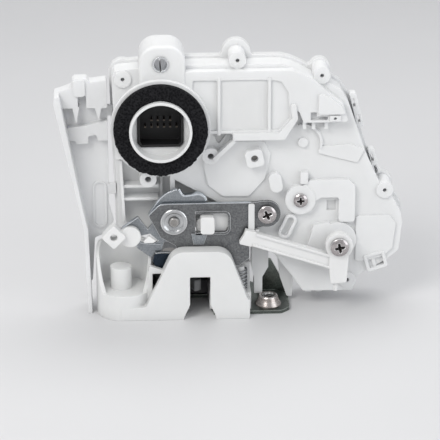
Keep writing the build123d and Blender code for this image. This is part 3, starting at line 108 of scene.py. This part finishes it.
# name, outline, front, back, body, material and slot of each flat pressing on the blade or bracket
PRESSINGS = (
    ("lever_buffer", BUFFER, -13.2, -11.2, "outside_release", "lever_white", "lever_white"),
    ("window_tab", WINDOW_TAB, -15.7, -14.9, "root", "zinc_lever", "zinc_sheet"),
    ("detent_arm", DETENT_ARM, -14.7, -13.2, "root", "blued_steel", "fork_coat"),
)
# radius from the rivet's axis and depth of the dish pressed round it
DISH = ((7.85, -15.0), (7.7, -15.6), (7.2, -16.15), (6.6, -16.2), (6.1, -16.08), (5.4, -15.6),
        (4.6, -15.2), (3.2, -15.05))
TURNS = 72              # steps round a turned piece

# ---------------------------------------------------------------- screws and fixings
# the turn of each screw's cross, in degrees
HEADS = {"bracket_screw": 24.0, "retainer_screw": 4.0, "lever_screw": 12.0}
HEAD_STEPS = 26
# the cross, in shares of the head's radius: half width, reach, and how fast its walls fall
CROSS_HALF, CROSS_REACH = 0.155, 0.56
CROSS_WALL, CROSS_END = 0.05, 0.12
CROSS_DARK = 0.35       # where the painted shade of the recess starts, as a share of its depth
CROSS_DEPTH = 0.0016
DOME, DOME_POWER, SKIRT = 0.0011, 3.2, 2.4
SAME_SPOT = 0.000001
# radius and height of the collar rolled on the plate's fixing, in mm
COLLAR = ((7.55, 2.0), (7.3, 2.7), (6.1, 4.4), (5.5, 6.0), (5.15, 7.0), (4.7, 7.35), (3.9, 7.35),
          (3.25, 7.15))
FIXING = (0.03925, -0.0070)
THREAD_PITCH, THREAD_TURNS, THREAD_TOP = 1.0, 6, 6.9
THREAD_OUTER, THREAD_INNER = 3.05, 2.62

# ---------------------------------------------------------------- foam ring
FOAM_INNER = 0.01705
FOAM_ROUGH = 0.0009
FOAM_STEP = 0.0006
LUMPS, PITS = 420.0, 1300.0     # scales of the coarse and the fine roughness
LUMP_SHARE, PIT_SHARE = 0.55, 0.45
BORE_SHARE = -0.3               # how the roughness shows inside the bore, which is cut clean


# ================================================================ materials
class Graph:
    """A material's node tree with short calls for its nodes."""

    def __init__(self, name):
        self.material = bpy.data.materials.new(name)
        self.material.use_nodes = True
        self.tree = self.material.node_tree
        self.shader = self.tree.nodes["Principled BSDF"]
        self.coords = self.add("ShaderNodeTexCoord").outputs["Object"]

    def add(self, kind, **values):
        node = self.tree.nodes.new(kind)
        for key, value in values.items():
            setattr(node, key, value)
        return node

    def link(self, source, target):
        self.tree.links.new(source, target)

    def noise(self, scale, detail=4.0, roughness=0.55, stretch=None):
        node = self.add("ShaderNodeTexNoise")
        node.inputs["Scale"].default_value = scale
        node.inputs["Detail"].default_value = detail
        node.inputs["Roughness"].default_value = roughness
        source = self.coords
        if stretch:
            mapping = self.add("ShaderNodeMapping")
            mapping.inputs["Scale"].default_value = stretch
            self.link(self.coords, mapping.inputs["Vector"])
            source = mapping.outputs["Vector"]
        self.link(source, node.inputs["Vector"])
        return node.outputs["Fac"]

    def ramp(self, source, low, high, start=0.35, stop=0.65):
        node = self.add("ShaderNodeValToRGB")
        node.color_ramp.elements[0].position = start
        node.color_ramp.elements[1].position = stop
        node.color_ramp.elements[0].color = (*low, 1.0)
        node.color_ramp.elements[1].color = (*high, 1.0)
        self.link(source, node.inputs["Fac"])
        return node.outputs["Color"]

    def span(self, source, low, high):
        node = self.add("ShaderNodeMapRange")
        node.inputs["To Min"].default_value = low
        node.inputs["To Max"].default_value = high
        self.link(source, node.inputs["Value"])
        return node.outputs["Result"]

    def mix(self, factor, first, second):
        node = self.add("ShaderNodeMix", data_type="RGBA", blend_type="MIX")
        self.link(factor, node.inputs[0])
        for value, socket in ((first, node.inputs[6]), (second, node.inputs[7])):
            if hasattr(value, "node"):
                self.link(value, socket)
            else:
                socket.default_value = (*value, 1.0)
        return node.outputs[2]

    def hollow(self, distance):
        """1 on open surfaces, towards 0 in corners and recesses."""
        node = self.add("ShaderNodeAmbientOcclusion", samples=6)
        node.inputs["Distance"].default_value = distance
        return node.outputs["AO"]

    def edge(self, radius):
        """1 on rounded edges, 0 on flat faces."""
        soft = self.add("ShaderNodeBevel", samples=6)
        soft.inputs["Radius"].default_value = radius
        flat = self.add("ShaderNodeNewGeometry")
        turn = self.add("ShaderNodeVectorMath", operation="DOT_PRODUCT")
        self.link(soft.outputs["Normal"], turn.inputs[0])
        self.link(flat.outputs["True Normal"], turn.inputs[1])
        sharp = self.add("ShaderNodeMapRange")
        sharp.inputs["From Min"].default_value = 0.999
        sharp.inputs["From Max"].default_value = 0.93
        self.link(turn.outputs["Value"], sharp.inputs["Value"])
        return sharp.outputs["Result"]

    def bump(self, source, strength, distance, edge=0.0003):
        node = self.add("ShaderNodeBump")
        node.inputs["Strength"].default_value = strength
        node.inputs["Distance"].default_value = distance
        self.link(source, node.inputs["Height"])
        if edge:
            soft = self.add("ShaderNodeBevel", samples=4)
            soft.inputs["Radius"].default_value = edge
            self.link(soft.outputs["Normal"], node.inputs["Normal"])
        self.link(node.outputs["Normal"], self.shader.inputs["Normal"])

    def set(self, **values):
        for key, value in values.items():
            socket = self.shader.inputs[key.replace("_", " ")]
            if hasattr(value, "node"):
                self.link(value, socket)
            else:
                socket.default_value = value


def moulding(name, light, shade, rough=0.42, grain=700.0, depth=0.00004, glow=0.30):
    """Moulded plastic: a clouded body, with painted shade in recesses, a painted highlight at
    edges, and a fine skin.
    """
    g = Graph(name)
    cloud = g.ramp(g.noise(45.0, 3.0), tuple(c * 0.965 for c in light), light)
    flow = g.noise(16.0, 2.0, 0.5, (1.0, 1.0, 0.35))
    cloud = g.mix(g.span(flow, 0.0, 0.12), cloud, shade)
    # painted shade: the colour falls to the shade tone in corners and recesses
    colour = g.mix(g.span(g.hollow(PLASTIC_REACH), 1.0, 0.0), cloud, shade)
    # painted highlight: rounded edges turn paler
    pale = tuple(min(EDGE_PALE, c * 1.10) for c in light)
    colour = g.mix(g.span(g.edge(0.0006), 0.0, 0.55), colour, pale)
    grain_out = g.noise(grain, 3.0, 0.6)
    g.set(Base_Color=colour, Roughness=g.span(g.noise(130.0, 4.0), rough - 0.06, rough + 0.08))
    g.set(Subsurface_Weight=glow, Subsurface_Radius=(0.0040, 0.0040, 0.0042))
    g.set(Subsurface_Scale=1.0, IOR=1.48)
    g.bump(grain_out, 0.25, depth, 0.0005)
    return g.material


def steel(name, low, high, rough=0.30, stretch=(1.0, 1.0, 14.0), grain=420.0):
    """Plated steel: flecked plating, rolling marks, cloudy patches, painted shade in recesses and
    a painted highlight on rounded edges.
    """
    g = Graph(name)
    marks = g.noise(grain, 5.0, 0.6, stretch)
    flecks = g.noise(FLECKS, 3.0, 0.65)
    colour = g.ramp(flecks, low, high, 0.32, 0.68)
    colour = g.mix(g.span(g.noise(55.0, 3.0), 0.0, 0.55), colour, tuple(c * 0.8 for c in low))
    # painted shade: darker in corners and recesses
    dark = g.span(g.hollow(STEEL_REACH), 0.65, 0.0)
    colour = g.mix(dark, colour, tuple(c * 0.35 for c in low))
    # painted highlight: rounded edges turn bright
    colour = g.mix(g.edge(0.0004), colour, tuple(min(EDGE_BRIGHT, c * 2.6) for c in high))
    lines = g.noise(210.0, 6.0, 0.7, (1.0, 1.0, 40.0))
    scratches = g.ramp(lines, (0.0, 0.0, 0.0), (1.0, 1.0, 1.0), 0.60, 0.72)
    g.set(Base_Color=colour, Metallic=1.0)
    sheen = g.span(marks, rough - 0.09, rough + 0.16)
    g.set(Roughness=g.mix(scratches, sheen, (rough * 0.5,) * 3))
    g.bump(marks, 0.30, PLATING_DEPTH, 0.00025)
    return g.material


def rubber(name, low, high):
    """Matt rubber with a fine skin."""
    g = Graph(name)
    g.set(Base_Color=g.ramp(g.noise(260.0, 3.0), low, high), Roughness=0.75)
    g.bump(g.noise(1500.0, 3.0), 0.4, 0.00005, 0.0002)
    return g.material


def foam(name):
    """Open-cell sealing foam: near-black, darkest in each cell's middle and grey towards the cell
    rims.
    """
    g = Graph(name)
    cells = g.add("ShaderNodeTexVoronoi", feature="F1")
    cells.inputs["Scale"].default_value = 900.0
    g.link(g.coords, cells.inputs["Vector"])
    rims = g.ramp(cells.outputs["Distance"], (0.003, 0.003, 0.004), (0.020, 0.020, 0.022),
                  0.15, 0.75)
    g.set(Base_Color=rims, Roughness=0.95, Specular_IOR_Level=0.12)
    g.bump(cells.outputs["Distance"], 0.9, 0.0006, 0.0)
    return g.material


def paint(material, *nodes):
    """Give the named CAD nodes one material."""
    for name in nodes:
        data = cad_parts[name].data
        data.materials.clear()
        data.materials.append(material)


def dress():
    """The finish of each CAD node it paints, and the finishes that only the scene's pieces use."""
    paint(moulding("case_white", (0.81, 0.815, 0.815), (0.70, 0.705, 0.71)),
          "front_housing", "rear_cover")
    paint(moulding("body_white", (0.81, 0.815, 0.81), (0.62, 0.625, 0.625), 0.36), "latch_body")
    paint(moulding("guard_white", (0.80, 0.805, 0.81), (0.72, 0.725, 0.73), 0.44, 600.0),
          "side_shield")
    paint(moulding("lever_white", (0.84, 0.84, 0.835), (0.62, 0.625, 0.625), 0.33, 500.0),
          "rod_clip", "lock_link", "inside_lever")
    paint(moulding("gear_nylon", (0.74, 0.70, 0.60), (0.35, 0.32, 0.26), 0.38),
          "worm_wheel", "drive_worm", "lock_lever")
    paint(steel("zinc_sheet", (0.13, 0.135, 0.14), (0.30, 0.305, 0.31), 0.30),
          "lever_bracket", "back_plate")
    paint(steel("zinc_lever", (0.26, 0.28, 0.30), (0.42, 0.44, 0.46), 0.26, (1.0, 1.0, 6.0)),
          "outside_lever")
    paint(steel("passivated_plate", (0.125, 0.143, 0.130), (0.235, 0.258, 0.238), 0.28,
                (1.0, 8.0, 1.0), 300.0), "face_plate")
    # near-black painted shade for the deep faces of the screws' cross recesses
    steel("recess_shade", (0.012, 0.010, 0.010), (0.05, 0.045, 0.045), 0.42, EVEN)
    # brighter copy of the zinc: painted highlight on the lips and the bracket's top edge
    steel("zinc_highlight", (0.55, 0.60, 0.65), (0.80, 0.84, 0.88), 0.18)
    steel("collar_zinc", (0.36, 0.32, 0.30), (0.58, 0.52, 0.49), 0.24, EVEN)
    steel("blued_steel", (0.020, 0.028, 0.040), (0.045, 0.06, 0.08), 0.20, EVEN)
    paint(steel("rivet_steel", (0.30, 0.29, 0.28), (0.46, 0.44, 0.42), 0.34, EVEN),
          "lever_rivet", "fork_pin", "pawl_pin", "motor_shaft", "wheel_axle", "lever_axle")
    paint(steel("screw_zinc", (0.46, 0.47, 0.48), (0.66, 0.67, 0.68), 0.20, EVEN, FINE_GRAIN),
          "cover_screws")
    paint(steel("bush_zinc", (0.62, 0.64, 0.66), (0.84, 0.86, 0.88), 0.16, EVEN, FINE_GRAIN),
          "top_bush")
    paint(steel("screw_warm", (0.40, 0.37, 0.37), (0.64, 0.60, 0.60), 0.16, EVEN, FINE_GRAIN),
          "bracket_screw", "retainer_screw", "lever_screw")
    paint(steel("spring_wire", (0.26, 0.27, 0.29), (0.42, 0.43, 0.45), 0.28, EVEN),
          "fork_spring", "pawl_spring", "return_spring")
    paint(steel("pawl_steel", (0.22, 0.22, 0.23), (0.34, 0.34, 0.35), 0.38, EVEN), "pawl")
    paint(steel("motor_steel", (0.45, 0.46, 0.47), (0.60, 0.61, 0.62), 0.30), "motor_can")
    paint(steel("contact_plating", (0.58, 0.44, 0.18), (0.80, 0.64, 0.32), 0.24, EVEN),
          "contact_strips")
    paint(steel("pin_tin", (0.035, 0.033, 0.030), (0.10, 0.085, 0.07), 0.50, EVEN),
          "connector_pins")
    paint(moulding("black_nylon", (0.008, 0.008, 0.009), (0.003, 0.003, 0.003), 0.55, 600.0,
                   0.00005, 0.0), "connector_socket", "position_switch", "motor_cap")
    paint(moulding("fork_coat", (0.30, 0.305, 0.31), (0.10, 0.10, 0.10), 0.44, 600.0,
                   0.00005, 0.0), "fork")
    paint(rubber("seal_rubber", (0.05, 0.05, 0.052), (0.09, 0.09, 0.094)),
          "housing_seal", "striker_bumper")


# ================================================================ meshes
def skin(mesh, rings, following):
    """Smooth faces from each ring of points to the one that follows it."""
    strips = []
    for first, second in zip(rings, following):
        strips.append([mesh.faces.new((first[k], first[k + 1], second[k + 1], second[k]))
                       for k in range(len(first) - 1)])
        for face in strips[-1]:
            face.smooth = True
    return strips


def piece_of(name, mesh, *materials):
    """The scene's object of a built mesh."""
    data = bpy.data.meshes.new(name)
    mesh.to_mesh(data)
    mesh.free()
    piece = bpy.data.objects.new(name, data)
    bpy.context.scene.collection.objects.link(piece)
    for material in materials:
        data.materials.append(material)
    return piece


def axis_of(node):
    """The X and Z of a CAD node's middle, with the corners of its box."""
    low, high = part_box(node)
    return (low[0] + high[0]) / 2, (low[2] + high[2]) / 2, low, high


# ================================================================ foam
def foam_profile(inner, outer, back, front, step):
    """Points (radius, depth) round the ring's section, about a step apart."""
    points = []
    corners = ((inner, back), (inner, front), (outer, front), (outer, back))
    for (r0, y0), (r1, y1) in zip(corners, corners[1:]):
        count = max(2, round(math.hypot(r1 - r0, y1 - y0) / step))
        points += [(r0 + (r1 - r0) * i / count, y0 + (y1 - y0) * i / count) for i in range(count)]
    points.append(corners[-1])
    return points


def make_foam():
    """The sealing ring round the connector: cut open-cell foam with torn, uneven edges."""
    centre_x, centre_z, low, high = axis_of("foam_ring")
    outer = (high[0] - low[0]) / 2 - FOAM_ROUGH
    profile = foam_profile(FOAM_INNER, outer, high[1], low[1] + FOAM_ROUGH, FOAM_STEP)
    turns = round(2 * math.pi * outer / FOAM_STEP)
    mesh = bmesh.new()
    rings = []
    for i in range(turns):
        angle = 2 * math.pi * i / turns
        ring = []
        for r, y in profile:
            spot = Vector((r * math.cos(angle), y, r * math.sin(angle)))
            coarse = noise.noise(spot * LUMPS)
            fine = noise.noise(spot * PITS)
            out = FOAM_ROUGH * (LUMP_SHARE * coarse + PIT_SHARE * fine)
            near_front = min(1.0, max(0.0, (high[1] - y) / (high[1] - low[1])))
            share = 1.0 if r > (FOAM_INNER + outer) / 2 else BORE_SHARE
            r_out = r + out * share * near_front
            y_out = y - out * near_front
            ring.append(mesh.verts.new((centre_x + r_out * math.cos(angle), y_out,
                                        centre_z + r_out * math.sin(angle))))
        rings.append(ring)
    skin(mesh, rings, rings[1:] + rings[:1])
    piece = piece_of("foam_seal", mesh, foam("foam_black"))
    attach(piece, "root")
    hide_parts("foam_ring")


# ================================================================ pressed details
def smooth_path(points, steps):
    """A Catmull-Rom curve through points."""
    ends = [points[0]] + list(points) + [points[-1]]
    path = []
    for a, b, c, d in zip(ends, ends[1:], ends[2:], ends[3:]):
        for i in range(steps):
            t = i / steps
            path.append(tuple(0.5 * (2 * q + (r - p) * t + (2 * p - 5 * q + 4 * r - w) * t * t
                                     + (3 * q - p - 3 * r + w) * t ** 3)
                              for p, q, r, w in zip(a, b, c, d)))
    return path + [points[-1]]


def pressing(name, points, front, back, body, material, round_off=ROLLED):
    """A sheet cut to an outline in X and Z, front to back in Y, with rolled edges. Sizes in mm."""
    mesh = bmesh.new()
    near = [mesh.verts.new((x * MM, front * MM, z * MM)) for x, z in points]
    far = [mesh.verts.new((x * MM, back * MM, z * MM)) for x, z in points]
    mesh.faces.new(near)
    mesh.faces.new(list(reversed(far)))
    for i in range(len(points)):
        j = (i + 1) % len(points)
        mesh.faces.new((near[i], far[i], far[j], near[j]))
    bmesh.ops.recalc_face_normals(mesh, faces=mesh.faces)
    piece = piece_of(name, mesh, bpy.data.materials[material])
    bevel = piece.modifiers.new("rolled_edges", "BEVEL")
    bevel.width = round_off
    bevel.segments = 3
    bevel.limit_method = "ANGLE"
    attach(piece, body)
    return piece


def lip(name, points, thick, front, back, body, material):
    """A rolled lip that follows a curved path in X and Z. Sizes in mm."""
    path = smooth_path(points, LIP_STEPS)
    upper, lower = [], []
    for i, (x, z) in enumerate(path):
        x0, z0 = path[max(0, i - 1)]
        x1, z1 = path[min(len(path) - 1, i + 1)]
        length = math.hypot(x1 - x0, z1 - z0)
        nx, nz = -(z1 - z0) / length * thick / 2, (x1 - x0) / length * thick / 2
        upper.append((x + nx, z + nz))
        lower.append((x - nx, z - nz))
    pressing(name, upper + lower[::-1], front, back, body, material)


def lathe(name, profile, centre, body, material):
    """A pressed ring: a section of radius and depth turned about an axis along Y. Sizes in mm."""
    mesh = bmesh.new()
    rings = []
    for i in range(TURNS):
        angle = 2 * math.pi * i / TURNS
        rings.append([mesh.verts.new((centre[0] + r * MM * math.cos(angle), y * MM,
                                      centre[1] + r * MM * math.sin(angle)))
                      for r, y in profile])
    skin(mesh, rings, rings[1:] + rings[:1])
    bmesh.ops.recalc_face_normals(mesh, faces=mesh.faces)
    piece = piece_of(name, mesh, bpy.data.materials[material])
    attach(piece, body)


def screw_head(node, turn):
    """A pan head with its cross recess, as a height field over radius and angle; the recess's deep
    faces carry near-black painted shade.
    """
    centre_x, centre_z, low, high = axis_of(node)
    radius, front = (high[0] - low[0]) / 2, low[1]
    mesh = bmesh.new()
    rings, sunk = [], []
    for i in range(2 * TURNS):
        angle = math.pi * i / TURNS
        ring, deep = [], []
        for k in range(HEAD_STEPS + 1):
            part = k / HEAD_STEPS
            across = part * abs(math.cos(angle - math.radians(turn)))
            along = part * abs(math.sin(angle - math.radians(turn)))
            narrow, wide = min(across, along), max(across, along)
            half = CROSS_HALF * (1.15 - 0.5 * wide)
            side = min(1.0, max(0.0, (half - narrow) / CROSS_WALL))
            end = min(1.0, max(0.0, (CROSS_REACH - wide) / CROSS_END))
            depth = DOME * part ** DOME_POWER + CROSS_DEPTH * side * end * (1.0 - 0.45 * wide)
            deep.append(side * end > CROSS_DARK)
            ring.append(mesh.verts.new((centre_x + radius * part * math.cos(angle), front + depth,
                                        centre_z + radius * part * math.sin(angle))))
        ring.append(mesh.verts.new((centre_x + radius * math.cos(angle), front + SKIRT * DOME,
                                    centre_z + radius * math.sin(angle))))
        rings.append(ring)
        sunk.append(deep)
    # the cross's deep faces take the painted shade material
    for strip, deep in zip(skin(mesh, rings, rings[1:] + rings[:1]), sunk):
        for face, dark in zip(strip[:HEAD_STEPS], deep):
            face.material_index = int(dark)
    bmesh.ops.remove_doubles(mesh, verts=mesh.verts, dist=SAME_SPOT)
    bmesh.ops.recalc_face_normals(mesh, faces=mesh.faces)
    piece = piece_of(node + "_head", mesh, bpy.data.materials["screw_warm"],
                     bpy.data.materials["recess_shade"])
    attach(piece, "root")
    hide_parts(node)


def make_collar(centre):
    """The collar and thread of a plate fixing."""
    section = list(COLLAR)
    for i in range(THREAD_TURNS):
        z = THREAD_TOP - i * THREAD_PITCH
        section += [(THREAD_OUTER, z), (THREAD_INNER, z - THREAD_PITCH / 2)]
    mesh = bmesh.new()
    rings = []
    for i in range(TURNS + 1):
        share = i / TURNS
        angle = 2 * math.pi * share
        ring = []
        for k, (r, z) in enumerate(section):
            drop = THREAD_PITCH * share if k >= len(COLLAR) else 0.0
            ring.append(mesh.verts.new((centre[0] + r * MM * math.cos(angle),
                                        centre[1] + r * MM * math.sin(angle), (z - drop) * MM)))
        rings.append(ring)
    skin(mesh, rings, rings[1:])
    bmesh.ops.recalc_face_normals(mesh, faces=mesh.faces)
    piece = piece_of("fixing_collar", mesh, bpy.data.materials["collar_zinc"])
    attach(piece, "root")


def make_pressings():
    """The outside lever's blade, the rolled lips, and the small pressings of blade and bracket."""
    blade = pressing("lever_blade", BLADE, BLADE_FRONT, BLADE_BACK, "outside_release",
                     "zinc_lever", BLADE_ROLLED)
    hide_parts("outside_lever")
    for name, points, thick, front, back, body, material in LIPS:
        lip(name, points, thick, front, back, body, material)
    for name, points, front, back, body, material, slot in PRESSINGS:
        pressing(name, points, front, back, body, material)
    lathe("pivot_dish", DISH, axis_of("lever_rivet")[:2], "root", "screw_zinc")


# ================================================================ studio
def soft_light(name, place, size, power, tint):
    """A rectangular area light that faces the part."""
    data = bpy.data.lights.new(name, "AREA")
    data.shape = "RECTANGLE"
    data.size, data.size_y = size
    data.energy = power
    data.color = tint
    lamp = bpy.data.objects.new(name, data)
    lamp.location = place
    lamp.rotation_euler = (Vector(AIM) - Vector(place)).to_track_quat("-Z", "Y").to_euler()
    bpy.context.scene.collection.objects.link(lamp)


def make_floor():
    """The pale paper sweep."""
    profile = [(SWEEP_START, 0.0), (BEND_START, 0.0)]
    for i in range(BEND_STEPS + 1):
        turn = math.radians(90.0 * i / BEND_STEPS)
        profile.append((BEND_START + BEND_RADIUS * math.sin(turn),
                        BEND_RADIUS - BEND_RADIUS * math.cos(turn)))
    profile.append((BEND_START + BEND_RADIUS, SWEEP_TOP))
    verts = [(x, y, z) for x in (-SWEEP_HALF, SWEEP_HALF) for y, z in profile]
    count = len(profile)
    faces = [(i, i + 1, count + i + 1, count + i) for i in range(count - 1)]
    mesh = bpy.data.meshes.new("sweep")
    mesh.from_pydata(verts, [], faces)
    for face in mesh.polygons:
        face.use_smooth = True
    floor = bpy.data.objects.new("sweep", mesh)
    bpy.context.scene.collection.objects.link(floor)
    g = Graph("sweep_paper")
    tone = (FLOOR_TONE, FLOOR_TONE, FLOOR_TONE * 1.01)
    clouds = g.ramp(g.noise(6.0, 2.0), tuple(c * 0.985 for c in tone), tone)
    g.set(Base_Color=clouds, Roughness=0.55)
    mesh.materials.append(g.material)


def make_camera():
    """The camera at the photo's angle."""
    data = bpy.data.cameras.new("camera")
    data.lens = LENS
    data.sensor_width = SENSOR
    data.clip_start = NEAREST
    camera = bpy.data.objects.new("camera", data)
    back = Vector((math.sin(SIDE) * math.cos(RISE), -math.cos(SIDE) * math.cos(RISE),
                   math.sin(RISE)))
    camera.location = Vector(AIM) + DISTANCE * back
    camera.rotation_euler = back.to_track_quat("Z", "Y").to_euler()
    bpy.context.scene.collection.objects.link(camera)
    bpy.context.scene.camera = camera


def make_studio():
    """The floor, the light, the camera and the plain view transform."""
    make_floor()
    world = bpy.data.worlds.new("studio")
    world.use_nodes = True
    background = world.node_tree.nodes["Background"]
    background.inputs["Color"].default_value = SKY_TONE
    background.inputs["Strength"].default_value = SKY_STRENGTH
    bpy.context.scene.world = world
    for name, place, size, power, tint in LIGHTS:
        soft_light(name, place, size, power, tint)
    make_camera()
    bpy.context.scene.view_settings.view_transform = "Standard"


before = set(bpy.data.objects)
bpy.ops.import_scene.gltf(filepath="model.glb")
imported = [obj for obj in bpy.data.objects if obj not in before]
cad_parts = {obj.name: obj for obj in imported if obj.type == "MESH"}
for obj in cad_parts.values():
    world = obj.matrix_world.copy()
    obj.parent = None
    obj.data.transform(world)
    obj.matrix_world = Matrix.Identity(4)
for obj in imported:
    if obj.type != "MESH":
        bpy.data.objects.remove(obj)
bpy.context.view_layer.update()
dress()
make_foam()
make_pressings()
for screw, turn in HEADS.items():
    screw_head(screw, turn)
make_collar(FIXING)
make_studio()
